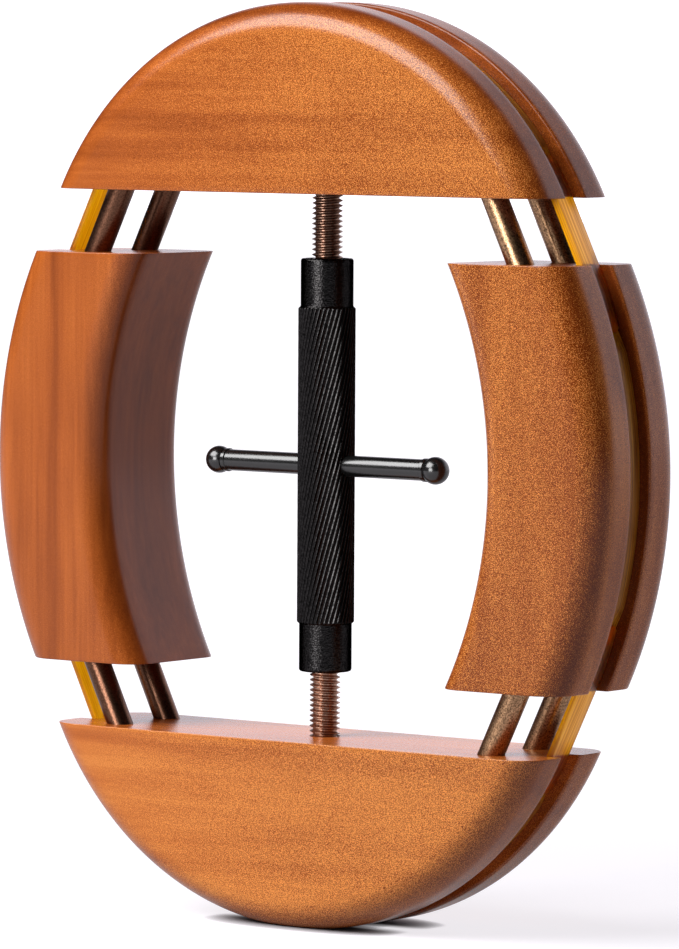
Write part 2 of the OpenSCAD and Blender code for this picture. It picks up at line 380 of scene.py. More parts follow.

# %% [markdown]
# ## Four planks
# Each block is sawn from its own plank, which is the same pattern at another place. The end blocks have
# their grain across the oval, and the side blocks along it. Away from the broad faces, on the rounded
# edges, the rims, the hollow faces and the sawn faces, the colour is painted darker by drop: painted shade
# where the surface turns from the light. The photograph shows the speckle most on the broad faces at the
# right, so its strength grows along X and towards the faces. The rim of the right block is painted paler
# again than its rounded edge: painted light on that rim.

# %% Wood finishes
SPARKLE_X, SPARKLE_LEFT, SPARKLE_RIGHT = 50.0, 0.25, 4.0
FACE_FROM, FACE_FULL, SPARKLE_INSIDE = 9.0, 13.5, 0.3
EDGE_SHADE_FROM, RIM_LIGHT_FROM, RIM_LIGHT_FULL = 11.5, 0.8, 0.1
UPRIGHT = (0, math.pi / 2, 0)


def painted_rim_light(tree, where, rim_light, centre, radius):
    """The painted light on a rim that lies at the radius from its centre in the XZ plane, and none further in.
    """
    from_centre = tree.nodes.new("ShaderNodeVectorMath")
    from_centre.operation = "MULTIPLY_ADD"
    wire(tree, where, from_centre.inputs[0])
    from_centre.inputs[1].default_value = (1, 0, 1)
    from_centre.inputs[2].default_value = (-centre[0] * MM, 0, -centre[1] * MM)
    reach = tree.nodes.new("ShaderNodeVectorMath")
    reach.operation = "LENGTH"
    wire(tree, from_centre.outputs[0], reach.inputs[0])
    start, full = (radius - RIM_LIGHT_FROM) * MM, (radius - RIM_LIGHT_FULL) * MM
    return map_range(tree, reach.outputs["Value"], start, full, 0.0, rim_light)


def wood_finish(name, turn, shift, tone, drop, streaks=0.34, rim=None):
    """Grain along X after the turn, from the plank at the shift; away from the broad faces the colour is
    darker than the tone by drop, as painted shade.
    """
    made, tree, shader = finish(name, Coat_Weight=0.05, Coat_Roughness=0.2, Specular_IOR_Level=0.32)
    where = tree.nodes.new("ShaderNodeTexCoord").outputs["Object"]
    mapping = tree.nodes.new("ShaderNodeMapping")
    mapping.inputs["Rotation"].default_value = turn
    mapping.inputs["Location"].default_value = shift
    wire(tree, where, mapping.inputs["Vector"])
    stain = place(tree, WOOD)
    stain.inputs["Streaks"].default_value = streaks
    wire(tree, mapping.outputs[0], stain.inputs["Vector"])
    at = tree.nodes.new("ShaderNodeSeparateXYZ")
    wire(tree, where, at.inputs[0])
    side = SPARKLE_X * MM
    to_right = map_range(tree, at.outputs["X"], -side, side, SPARKLE_LEFT, SPARKLE_RIGHT)
    depth = math_node(tree, "ABSOLUTE", at.outputs["Y"])
    on_face = map_range(tree, depth, FACE_FROM * MM, FACE_FULL * MM, SPARKLE_INSIDE, 1.0)
    wire(tree, math_node(tree, "MULTIPLY", to_right, on_face), stain.inputs["Sparkle"])
    # Painted shade: the tone falls by drop from the broad faces inwards, over edges, rims and sawn faces.
    shade = map_range(tree, depth, EDGE_SHADE_FROM * MM, HALF_T * MM, tone - drop, tone)
    # Painted light: the rim of the right block is made paler again.
    if rim:
        shade = math_node(tree, "ADD", shade, painted_rim_light(tree, where, *rim))
    wire(tree, shade, stain.inputs["Tone"])
    wire(tree, stain.outputs["Color"], shader["Base Color"])
    wire(tree, stain.outputs["Roughness"], shader["Roughness"])
    add_bump(tree, stain.outputs["Height"], 0.25, 0.04, shader["Normal"])
    return made


# drop is painted shade away from the broad faces; rim adds painted light to the right block's rim.
top_wood = wood_finish("top_wood", (0, 0, 0), (0.31, 0.02, 0.11), tone=0.01, drop=0.18)
bottom_wood = wood_finish("bottom_wood", (0, 0, 0), (0.72, 0.05, 0.43), tone=0.13, drop=0.13)
left_wood = wood_finish("left_wood", UPRIGHT, (0.18, 0.07, 0.61), tone=-0.04, drop=0.10)
right_wood = wood_finish("right_wood", UPRIGHT, (0.95, 0.03, 0.29), tone=-0.13, drop=0.12, streaks=0.65,
                         rim=(0.26, (SIDE_CENTRE_X, FOOT_Z), SIDE_R))
print("wood finishes", top_wood.name, bottom_wood.name, left_wood.name, right_wood.name)

# %% [markdown]
# ## Metal and black coating
# The rods and screws are bronzed steel with a satin, slightly grainy skin. The sleeve is blackened with
# fine grit, which is less on its fluted grip, and the cross bar is the same black but polished. A grain
# that only tints looks printed, so the grain also raises the surface a little. The left rods are painted
# darker than the right ones, as painted shade, and the lower screw lighter than the upper one, as painted
# light: lit and shaded copies of one finish.

# %% Grit pattern
GRAIN, CLOUD = (3200, 3200, 3200), (160, 160, 160)


def grit_pattern():
    """Two noises: a fine one for tint and bump, and a coarse one for roughness."""
    group, given, result = pattern_group(
        "fine_grit", [("Vector", "NodeSocketVector")],
        [("Grain", "NodeSocketFloat"), ("Cloud", "NodeSocketFloat")],
    )
    wire(group, noise(group, given["Vector"], GRAIN, 1.5), result["Grain"])
    wire(group, noise(group, given["Vector"], CLOUD, 2.0), result["Cloud"])
    return group


GRIT = grit_pattern()
print("grit pattern has %d nodes" % len(GRIT.nodes))

# %% Metal and black finishes
GRIP_HALF = 31.0
GRAIN_SPREAD, GRAIN_BASE, CALM_EDGE, CALM_SHARE = 0.6, 0.2, 0.1, 0.2


def gritty_finish(name, dark, light, rough_low, rough_high, grit_mm, calm_half=0, **constants):
    """Colour and roughness drift with the grit, which stands up by grit_mm.

    Nearer than calm_half to the middle height, in millimetres, it stands up by a smaller share.
    """
    made, tree, shader = finish(name, **constants)
    where = tree.nodes.new("ShaderNodeTexCoord").outputs["Object"]
    grit = place(tree, GRIT)
    wire(tree, where, grit.inputs["Vector"])
    tint = math_node(tree, "MULTIPLY_ADD", grit.outputs["Grain"], GRAIN_SPREAD, GRAIN_BASE)
    wire(tree, ramp(tree, tint, [(0.35, dark), (0.65, light)]), shader["Base Color"])
    rough = math_node(tree, "MULTIPLY_ADD", grit.outputs["Cloud"], rough_high - rough_low, rough_low)
    wire(tree, rough, shader["Roughness"])
    at = tree.nodes.new("ShaderNodeSeparateXYZ")
    wire(tree, where, at.inputs[0])
    off_middle = math_node(tree, "ABSOLUTE", math_node(tree, "SUBTRACT", at.outputs["Z"], FOOT_Z * MM))
    share = map_range(tree, off_middle, (calm_half - CALM_EDGE) * MM, calm_half * MM, CALM_SHARE, 1.0)
    height = math_node(tree, "MULTIPLY", grit.outputs["Grain"], share)
    add_bump(tree, height, 1.0, grit_mm, shader["Normal"])
    return made


# Painted shade: the left rods are a darker copy of the right ones.
bronzed_rod = {
    -1: gritty_finish("bronzed_rod_left", (0.060, 0.027, 0.016), (0.175, 0.081, 0.049),
                      0.26, 0.36, 0.02, Metallic=1.0),
    1: gritty_finish("bronzed_rod_right", (0.055, 0.027, 0.015), (0.60, 0.35, 0.19),
                     0.26, 0.36, 0.03, Metallic=1.0),
}
# Painted light: the lower screw is a lighter copy of the upper one.
bronzed_screw = {
    1: gritty_finish("bronzed_screw_upper", (0.15, 0.083, 0.058), (0.30, 0.185, 0.134),
                     0.24, 0.34, 0.004, Metallic=1.0),
    -1: gritty_finish("bronzed_screw_lower", (0.27, 0.155, 0.110), (0.54, 0.345, 0.255),
                      0.24, 0.34, 0.004, Metallic=1.0),
}
black_sleeve = gritty_finish(
    "black_sleeve", (0.003, 0.003, 0.003), (0.037, 0.035, 0.035), 0.14, 0.18, 0.08, GRIP_HALF,
    Metallic=1.0, Specular_Tint=(0, 0, 0, 1))
black_bar = gritty_finish(
    "black_bar", (0.003, 0.003, 0.003), (0.006, 0.006, 0.006), 0.18, 0.26, 0.001,
    Specular_IOR_Level=0.58, IOR=1.6)
print("grit finishes for 2 hands of rods, 2 screws, sleeve and bar")

# %% [markdown]
# ## Amber strips
# The strips are amber glass fibre, thin enough to glow where light falls on their far side, with a dull
# coat on their browner outer face. So the shader lets most light through, and the coat lies on the outer
# face alone. The fibres follow the strip, also where it slants or bends, so they read an attribute of the
# strip's own points.

# %% Amber finishes
STRIP_FIBRE, OUTER_FROM, OUTER_FULL = (40, 2600, 2600), -3.4, -2.4
STRIP_ROUGH, STRIP_SWING = 0.28, 0.2
AMBERS = [
    (0.15, (0.30, 0.080, 0.001)), (0.32, (0.60, 0.200, 0.001)),
    (0.46, (0.97, 0.440, 0.002)), (0.70, (1.0, 0.540, 0.010)),
]


def amber_finish(name, brown, coat, **constants):
    """Fibres from the strip's own attribute, as streaks of colour, roughness and bump.

    The outer face is darker by brown, and its coat is the fibres times the given weight.
    """
    made, tree, shader = finish(name, IOR=1.1, **constants)
    along = tree.nodes.new("ShaderNodeAttribute")
    along.attribute_name = "fibre"
    streak = noise(tree, along.outputs["Vector"], STRIP_FIBRE, 3.0, 0.6)
    through = tree.nodes.new("ShaderNodeSeparateXYZ")
    wire(tree, along.outputs["Vector"], through.inputs[0])
    outer = map_range(tree, through.outputs["Z"], OUTER_FROM * MM, OUTER_FULL * MM, 0.0, 1.0)
    shade = math_node(tree, "SUBTRACT", streak, math_node(tree, "MULTIPLY", outer, brown))
    wire(tree, ramp(tree, shade, AMBERS), shader["Base Color"])
    shine = math_node(tree, "MULTIPLY", outer, math_node(tree, "MULTIPLY", streak, coat))
    wire(tree, shine, shader["Coat Weight"])
    wire(tree, math_node(tree, "MULTIPLY_ADD", streak, STRIP_SWING, STRIP_ROUGH), shader["Roughness"])
    add_bump(tree, streak, 0.3, 0.05, shader["Normal"])
    return made


amber_strip = amber_finish(
    "amber_strip", 0.12, 1.6, Transmission_Weight=0.9, Coat_Roughness=0.4, Coat_IOR=1.7)
amber_band = amber_finish(
    "amber_band", 0.16, 1.6, Transmission_Weight=0.3, Coat_Roughness=0.5, Coat_IOR=1.9)
print("amber finishes", amber_strip.name, amber_band.name)

# %% [markdown]
# ## Rim section
# All four blocks share the section of their rim: a rounded front edge, a flat, a groove for the strip,
# and the mirror of these. It is a short path of (distance below the rim, depth) pairs. The lips of the
# groove and the edges of the sawn faces are eased a little, because that is where light catches.

# %% Rim section
LIP, EASE, BORDER = 0.45, 0.2, 0.2
QUARTER = np.linspace(0, math.pi / 2, 13)
LITTLE_QUARTER = np.linspace(0, math.pi / 2, 5)


def straight(start, end, count):
    """Points between two pairs, with both ends."""
    return np.linspace(start, end, count)


def rim_path():
    """Half of the section from the front face to the middle of the groove, then its mirror image in depth."""
    edge = np.stack([RIM_ROUND * (np.sin(QUARTER) - 1), RIM_ROUND * (1 - np.cos(QUARTER)) - HALF_T], -1)
    flat = straight((0, RIM_ROUND - HALF_T), (0, -HALF_G - LIP), 6)
    lip = np.stack([LIP * (np.cos(LITTLE_QUARTER) - 1), LIP * (np.sin(LITTLE_QUARTER) - 1) - HALF_G], -1)
    wall = straight((-LIP, -HALF_G), (-GROOVE_DEPTH, -HALF_G), 5)
    floor = straight((-GROOVE_DEPTH, -HALF_G), (-GROOVE_DEPTH, 0), 4)
    half = np.vstack([edge, flat[1:], lip[1:], wall[1:], floor[1:]])
    return np.vstack([half, half[-2::-1] * [1, -1]])


RIM = rim_path()
print("rim section has %d points" % len(RIM))

# %% [markdown]
# ## Sawn faces
# Where two blocks part, each has a flat sawn face with an eased edge and drilled holes.
# The edge is a small Bezier from the side (A) round the corner (B) to the face (C).
# The face itself is cut into triangles between its outline and the mouths of the holes.

# %% Eased edges
def outward(loop):
    """Unit normals in the plane of a loop that runs anticlockwise seen from above."""
    along = np.roll(loop, -1, 0) - np.roll(loop, 1, 0)
    normal = np.stack([along[:, 1], -along[:, 0], 0 * along[:, 0]], -1)
    return normal / np.linalg.norm(normal, axis=1, keepdims=True)


def eased_edge(side, corner):
    """Bezier strip from the side loop over the corner loop to the face, and the face's own outline."""
    normal = outward(corner)
    face = corner - EASE * normal
    w = np.linspace(0, 1, 5)[:, None, None]
    strip = (1 - w) ** 2 * side + 2 * w * (1 - w) * corner + w**2 * face
    outline = corner - (EASE + BORDER) * normal
    return [grid(strip, wrap=True), grid(np.stack([face, outline]), wrap=True)], outline


print("edges eased by %g mm, with a border of %g mm" % (EASE, BORDER))

# %% Holes and flat faces
HOLE_POINTS = 44
KEEP_INSIDE, SAME_POINT, IN_HOLE = 1, 1e-7, 0.98


def hole_mouth(x, y, z, radius, lean):
    """Mouth of a round hole that leans in the XZ plane, on a level face: a circle stretched along X."""
    turn = np.linspace(0, 2 * math.pi, HOLE_POINTS, endpoint=False)
    across, deep = radius / math.cos(lean) * np.cos(turn), radius * np.sin(turn)
    return np.stack([x + across, y + deep, z + 0 * turn], -1)


def drilled(mouth, direction, depth):
    """Wall and bottom of a hole: its mouth carried along a direction."""
    floor = mouth + depth * np.asarray(direction)
    return [grid(np.stack([mouth, floor]), wrap=True), fan(floor, floor.mean(0))]


def flat_face(outline, mouths):
    """Triangles between an outline and the mouths of the holes in it, all at one height."""
    loops = [outline, *mouths]
    points = np.concatenate(loops)
    starts = np.cumsum([0] + [len(loop) for loop in loops[:-1]])
    edges = np.concatenate([
        np.stack([s + np.arange(len(loop)), s + (np.arange(len(loop)) + 1) % len(loop)], -1)
        for s, loop in zip(starts, loops)
    ])
    whole = [list(range(len(outline)))]
    flat, _, cells, *_ = delaunay_2d_cdt(
        points[:, :2].tolist(), edges.tolist(), whole, KEEP_INSIDE, SAME_POINT)
    flat = np.array([tuple(p) for p in flat])
    cells = np.array(cells)
    middle = flat[cells].mean(1)
    open_area = np.zeros(len(cells), bool)
    for mouth in mouths:
        centre, reach = mouth.mean(0)[:2], np.abs(mouth - mouth.mean(0)).max(0)[:2]
        open_area |= (((middle - centre) / reach) ** 2).sum(1) < IN_HOLE
    return np.column_stack([flat, np.full(len(flat), points[0, 2])]), cells[~open_area]


print("holes have %d points round" % HOLE_POINTS)

# %% [markdown]
# ## End blocks
# An end block is a segment of a thick disc. Its rim is the section carried round the end arc until it
# meets the sawn face, and each flat side falls from the arc to the chord. The bottom block is the same
# shape upside down, with a small flat so that it stands.

# %% End blocks
ALONG_ARC = 181


def end_block():
    """Rim: (r sin a, y, centre + r cos a), stopped for each section point where the sawn face begins."""
    radius, depth = END_R + RIM[:, 0], RIM[:, 1]

    def at_height(z):
        return np.arccos((z - END_CENTRE_Z) / radius)

    def on_rim(angle):
        return np.stack([radius[:, None] * np.sin(angle), depth[:, None] + 0 * angle,
                         END_CENTRE_Z + radius[:, None] * np.cos(angle)], -1)

    low = END_FACE_Z + EASE
    rim = on_rim(at_height(low)[:, None] * np.linspace(-1, 1, ALONG_ARC))
    drop = np.concatenate([np.linspace(0, 0.96, 11), [1.0]])[:, None, None]
    chords = [row * [1, 1, 0] + [0, 0, low] for row in (rim[0], rim[-1])]
    sides = [(1 - drop) * row + drop * chord for row, chord in zip((rim[0], rim[-1]), chords)]
    corner_rim = on_rim(at_height(END_FACE_Z)[:, None] * np.array([-1.0, 1.0]))
    reach = corner_rim[0, 1, 0] / rim[0, -1, 0]
    corner_chords = [(chord * [reach, 1, 0] + [0, 0, END_FACE_Z])[1:-1] for chord in chords]
    front, rear = (chord[1:-1] for chord in chords)
    side = np.vstack([rim[:, -1], rear[::-1], rim[::-1, 0], front])
    corner = np.vstack([corner_rim[:, 1], corner_chords[1][::-1], corner_rim[::-1, 0], corner_chords[0]])
    strips, outline = eased_edge(side, corner)
    sheets = [grid(rim), grid(sides[0]), grid(sides[1]), *strips]
    mouths = [hole_mouth(0, 0, END_FACE_Z, SCREW_D / 2 + SEAT_FIT, 0)]
    sheets += drilled(mouths[0], (0, 0, 1), SCREW_SEAT + TIP_ROOM)
    for hand in (-1, 1):
        for face in (-1, 1):
            mouths.append(hole_mouth(
                hand * ROD_X, face * ROD_SPACING / 2, END_FACE_Z, ROD_D / 2 + SEAT_FIT, SLOPE))
            inwards = (-hand * math.sin(SLOPE), 0, math.cos(SLOPE))
            sheets += drilled(mouths[-1], inwards, ROD_SEAT + TIP_ROOM)
    sheets.append(flat_face(outline, mouths))
    return sheets


def standing(points):
    """Upside down, and cut off level at the foot."""
    turned_over = points * [1, 1, -1]
    return np.column_stack([turned_over[:, :2], np.maximum(turned_over[:, 2], -FOOT_Z)])


piece("top_block_skin", end_block(), "top", "top_block", top_wood)
piece("bottom_block_skin", moved(end_block(), standing), "bottom", "bottom_block",
      bottom_wood)

# %% [markdown]
# ## Side blocks
# A side block is a crescent. At every height its outline is the same loop of section points: the outer
# ones hang from the outer arc and the inner ones from the hollow's arc, so stacking the loops gives the
# whole block.

# %% Side blocks
ALONG_SIDE = 91


def inner_path():
    """Section of the hollow face from rear to front, as (past the hollow, depth): rounded, flat, rounded."""
    past, below = INNER_ROUND * (1 - np.sin(QUARTER)), INNER_ROUND * (1 - np.cos(QUARTER))
    edge = np.stack([past, HALF_T - below], -1)
    flat = straight((0, HALF_T - INNER_ROUND), (0, INNER_ROUND - HALF_T), 9)
    return np.vstack([edge, flat[1:-1], edge[::-1] * [1, -1]])


INNER = inner_path()


def side_loops(z):
    """Outlines at the heights z: x = centre + sqrt(r^2 - z^2) for both arcs, joined across the faces."""
    z = np.atleast_1d(np.asarray(z, float))[:, None]
    outer = SIDE_CENTRE_X + np.sqrt((SIDE_R + RIM[:, 0]) ** 2 - z**2)
    inner = INNER_CENTRE_X + np.sqrt((INNER_R + INNER[:, 0]) ** 2 - z**2)
    share = np.linspace(0, 1, 9)[1:-1]
    rear = outer[:, -1:] + share * (inner[:, :1] - outer[:, -1:])
    front = inner[:, -1:] + share * (outer[:, :1] - inner[:, -1:])
    x = np.hstack([outer, rear, inner, front])
    depth = np.concatenate([RIM[:, 1], HALF_T + 0 * share, INNER[:, 1], -HALF_T + 0 * share])
    return np.stack([x, depth + 0 * x, z + 0 * x], -1)


def side_block():
    """Stacked loops between the eased edges, and at both ends a sawn face with two leaning holes."""
    inside = SPLIT_Z - EASE
    sheets = [grid(side_loops(np.linspace(-inside, inside, ALONG_SIDE)), wrap=True)]
    mouth_x = ROD_X + SIDE_SHIFT
    depth = ROD_FREE + TIP_ROOM
    for level in (-1, 1):
        strips, outline = eased_edge(side_loops(level * inside)[0], side_loops(level * SPLIT_Z)[0])
        bore_r = ROD_D / 2 + SLIDE_FIT
        mouths = [hole_mouth(mouth_x, face * ROD_SPACING / 2, level * SPLIT_Z, bore_r, SLOPE)
                  for face in (-1, 1)]
        sheets += strips
        for mouth in mouths:
            sheets += drilled(mouth, (math.sin(SLOPE), 0, -level * math.cos(SLOPE)), depth)
        sheets.append(flat_face(outline, mouths))
    return sheets


piece("right_block_skin", side_block(), "right_side", "right_block", right_wood)
piece("left_block_skin", moved(side_block(), lambda p: p * [-1, 1, 1]), "left_side",
      "left_block", left_wood)

# %% [markdown]
# ## Guide rods
# Eight plain rods, two at each corner, lean at the slope of the rim. Their tips are bevelled so that they
# enter the long holes of the side blocks easily. One turned profile is laid along each slanting axis.

# %% Guide rods
TIP_BEVEL = 0.6
ROUND = np.linspace(0, 2 * math.pi, 64, endpoint=False)


def bevelled(radius, low, high, steps):
    """Profile of a bar with bevelled tips: radius against height."""
    middle = straight((radius, low + TIP_BEVEL), (radius, high - TIP_BEVEL), steps)
    tip_r = radius - TIP_BEVEL
    return np.vstack([[0, low], [tip_r, low], middle, [tip_r, high], [0, high]])


def along_rod(points, level, hand, depth, inset):
    """From the rod's own axis to its corner: leant by the slope from the end block's face, then mirrored."""
    x = math.cos(SLOPE) * points[:, 0] - math.sin(SLOPE) * points[:, 2] + SPLIT_X - inset
    z = math.sin(SLOPE) * points[:, 0] + math.cos(SLOPE) * points[:, 2] + END_FACE_Z
    return np.column_stack([hand * x, points[:, 1] + depth, level * z])


CORNERS = [(level, hand) for level in (1, -1) for hand in (-1, 1)]
LEVEL_NAME, LEVEL_BODY = {1: "upper", -1: "lower"}, {1: "top", -1: "bottom"}
HAND_NAME, FACE_NAME = {-1: "left", 1: "right"}, {-1: "front", 1: "rear"}
rod_sheet = turned(bevelled(ROD_D / 2, -ROD_FREE, ROD_SEAT, 24), ROUND)
for level, hand in CORNERS:
    for face in (-1, 1):
        node = "_".join((LEVEL_NAME[level], HAND_NAME[hand], FACE_NAME[face], "rod"))
        sheets = moved([rod_sheet], lambda p: along_rod(p, level, hand, face * ROD_SPACING / 2, ROD_INSET))
        piece(node + "_skin", sheets, LEVEL_BODY[level], node, bronzed_rod[hand])

# %% [markdown]
# ## Guide strips
# At each corner a springy strip lies in the groove and bridges the gap, so that a hat sees no step. Its
# section is a thin rectangle with rounded corners, carried along the rod's direction and narrowed at both
# ends. Inside the grooves it gets thinner, as far as the rim bends away from its straight line. Every
# point also keeps its place along, across and through the strip, for the fibres of the finish.

# %% Strip section and sheets
STRIP_W, STRIP_T, STRIP_GRIP, STRIP_SHARE, STRIP_BEVEL, STRIP_FLOOR = 5.5, 1.4, 2.1, 0.45, 0.8, 3.6
STRIP_ROUND, STRIP_TIP, END_ROOM = 0.14, 0.3, 2


def strip_section(thickness, width, corner):
    """Rectangle with rounded corners, round its own middle, as places through and across a strip."""
    turn = np.linspace(0, 2 * math.pi, 33)[:-1] + math.pi / 32
    through = np.sign(np.cos(turn)) * (thickness / 2 - corner) + corner * np.cos(turn)
    return through, np.sign(np.sin(turn)) * (width / 2 - corner) + corner * np.sin(turn)


def capped(points):
    """A tube of section loops with a fan over each end."""
    return [grid(points, wrap=True), fan(points[0], points[0].mean(0)), fan(points[-1], points[-1].mean(0))]


def strip_sheets():
    """The section at each place along the strip: past a mouth by s it loses s^2 / 2 r of its thickness."""
    held = MAX_LEN + 2 * STRIP_GRIP - OPEN_LEN
    low, high = -OPEN_LEN - (1 - STRIP_SHARE) * held, STRIP_SHARE * held
    middle = np.linspace(low + END_ROOM, high - END_ROOM, 40)
    along = np.concatenate([[low, low + STRIP_BEVEL], middle, [high - STRIP_BEVEL, high]])[:, None]
    trim = np.zeros_like(along)
    trim[[0, -1]] = STRIP_BEVEL
    inside = np.maximum(along, 0) + np.maximum(-OPEN_LEN - along, 0)
    thickness = np.maximum(STRIP_T - inside**2 / (2 * END_R), STRIP_TIP)
    through, across = strip_section(thickness, STRIP_W - 2 * trim, STRIP_ROUND)
    return capped(np.stack([through + thickness / 2 - STRIP_FLOOR, across, along + 0 * across], -1))


print("a strip has %d points" % sum(len(points) for points, _ in strip_sheets()))

# %% Guide strips
LEVEL_OFFSET, HAND_OFFSET = 60, 25


def keep_fibres(made, run_and_depth):
    """Stores each point's place along, across and through its strip, in metres, from its x and z."""
    flat = np.empty(len(made.data.vertices) * 3, np.float32)
    made.data.vertices.foreach_get("co", flat)
    x, y, z = (flat.reshape(-1, 3) / MM - [0, 0, FOOT_Z]).T
    along, through = run_and_depth(x, z)
    fibres = np.column_stack([along, y, through]) * MM
    kept = made.data.attributes.new("fibre", "FLOAT_VECTOR", "POINT")
    kept.data.foreach_set("vector", fibres.ravel())


def strip_run(x, z, level, hand):
    """Place along the slope, with an offset for each corner, and depth below the rim at the mouth."""
    x, z = hand * x - SPLIT_X, level * z - END_FACE_Z
    along = math.cos(SLOPE) * z - math.sin(SLOPE) * x
    offset = LEVEL_OFFSET * level + HAND_OFFSET * hand
    return along + offset, math.cos(SLOPE) * x + math.sin(SLOPE) * z


for level, hand in CORNERS:
    node = "_".join((LEVEL_NAME[level], HAND_NAME[hand], "strip"))
    body = "_".join((LEVEL_NAME[level], HAND_NAME[hand], "leaf"))
    sheets = moved(strip_sheets(), lambda p: along_rod(p, level, hand, 0, 0))
    made = piece(node + "_skin", sheets, body, node, amber_strip)
    keep_fibres(made, lambda x, z: strip_run(x, z, level, hand))

# %% [markdown]
# ## Groove bands
# Between its two strips each groove is lined with a band of the same amber, so that the rim is even all
# round. A band is a strip's section carried round the groove's arc. It gets thinner towards its ends,
# under the straight strips that slide in over it.

# %% Groove bands
BAND_T, BAND_EDGE, BAND_ROOM, BAND_ROUND = 1.5, 0.4, 0.15, 0.12


def band_sheets(arc_r, mouth, on_arc):
    """The section carried round an arc, as thick as BAND_T, or as the line d / cos(mouth - angle) leaves."""
    floor_r, line = arc_r - GROOVE_DEPTH + SEAT_FIT, arc_r - STRIP_FLOOR - BAND_ROOM
    start = math.sqrt((floor_r + BAND_EDGE) ** 2 - line**2)
    angle = np.linspace(-1, 1, 181)[:, None] * (mouth - math.asin(start / floor_r))
    thickness = np.minimum(BAND_T, line / np.cos(mouth - np.abs(angle)) - floor_r)
    through, across = strip_section(thickness, GROOVE_W - 2 * SEAT_FIT, BAND_ROUND)
    a, b = on_arc(floor_r + thickness / 2 + through, angle)
    return capped(np.stack([a, across + 0 * angle, b], -1))


def band_run(x, z, arc_r, centre_x, centre_z):
    """Length round the arc, and depth below the rim."""
    return arc_r * np.arctan2(z - centre_z, x - centre_x), np.hypot(x - centre_x, z - centre_z) - arc_r


end_band = band_sheets(
    END_R, math.pi / 2 - SLOPE, lambda r, a: (r * np.sin(a), END_CENTRE_Z + r * np.cos(a)))
side_band = band_sheets(
    SIDE_R, SLOPE, lambda r, a: (SIDE_CENTRE_X + r * np.cos(a), r * np.sin(a)))
for level in (1, -1):
    body = LEVEL_BODY[level]
    sheets = moved(end_band, lambda p: p * [1, 1, level])
    made = piece(body + "_band_skin", sheets, body, body + "_band", amber_band)
    keep_fibres(made, lambda x, z: band_run(x, level * z, END_R, 0, END_CENTRE_Z))
for hand in (-1, 1):
    side = HAND_NAME[hand]
    sheets = moved(side_band, lambda p: p * [hand, 1, 1])
    made = piece(side + "_band_skin", sheets, side + "_side", side + "_band", amber_band)
    keep_fibres(made, lambda x, z: band_run(hand * x, z, SIDE_R, SIDE_CENTRE_X, 0))

# %% [markdown]
# ## Screws
# The two screws have fine threads of opposite hand. A thread is one profile carried along a helix: every
# row of the grid is a helix of constant radius, and after a full turn a row meets the row one pitch above
# it. Mirroring the right-hand thread gives the left-hand one.

# %% Screws
SCREW_TIP, PITCH, ROOT_SHARE = 15.4, 1.0, 0.776
CREST_HALF, FLANK, EASED = 0.06, 0.32, 0.15
PHASES = np.array([0, 0.05, 0.11, 0.19, 0.27, 0.35, 0.42, 0.5, 0.58, 0.65, 0.73, 0.81, 0.89, 0.95])


def thread_radius(phase):
    """Crest at 0, root at one half, straight flanks between, with both eased."""
    fall = np.clip((np.minimum(phase, 1 - phase) - CREST_HALF) / FLANK, 0, 1)
    fall = (1 - EASED) * fall + EASED * fall**2 * (3 - 2 * fall)
    return SCREW_D / 2 * (1 - (1 - ROOT_SHARE) * fall)


def threaded_bar(low, high):
    """Rows are helices, (r cos t, r sin t, h + pitch t / 2 pi), closed at both ends to a point on the axis."""
    turns = int((high - low) / PITCH) - 1
    per_turn = len(PHASES)
    start = low + (np.arange(turns)[:, None] + PHASES).ravel() * PITCH
    radius = np.tile(thread_radius(PHASES), turns)[:, None]
    turn = np.linspace(0, 2 * math.pi, 49)
    height = start[:, None] + PITCH * turn / (2 * math.pi)
    points = np.stack([radius * np.cos(turn), radius * np.sin(turn), height], -1)
    foot = np.vstack([points[0], points[per_turn - 1:0:-1, 0]])
    head = np.vstack([points[-1], points[-2:-per_turn - 1:-1, -1]])
    return [grid(points), fan(foot, [0, 0, low + PITCH / 2]), fan(head, [0, 0, high - PITCH / 2])]


for level in (1, -1):
    node = LEVEL_NAME[level] + "_screw"
    sheets = moved(threaded_bar(SCREW_TIP, END_FACE_Z + SCREW_SEAT), lambda p: p * [1, 1, level])
    piece(node + "_skin", sheets, LEVEL_BODY[level], node, bronzed_screw[level])

# %% [markdown]
# ## Sleeve
# The sleeve has smooth collars and a grip with fine slanting flutes. The grid's columns follow the
# flutes: a column's angle grows with height, so each ridge stays sharp with few rows. The radius is the
# smaller of the scallop and the bevelled shoulder. The same grid turns in over the ends and runs back
# through the bore.

# %% Sleeve
COLLAR_R, GRIP_R, SLEEVE_HALF, SLEEVE_BEVEL = 5.15, 5.6, 40.3, 0.5
BUSH_SEAT_R, BUSH_SEAT_Z, BORE_R, SEAT_BEVEL = 4.0, 31.85, 3.5, 0.2
SHOULDER, ROW_ROOM, COLLAR_ROOM, COLLAR_GAP = 0.5, 0.8, 0.3, 0.1
FLUTES, FLUTE_DEPTH, PER_FLUTE, FLUTE_LEAN = 43, 0.22, 10, 14
LEAN = math.tan(math.radians(FLUTE_LEAN)) / GRIP_R


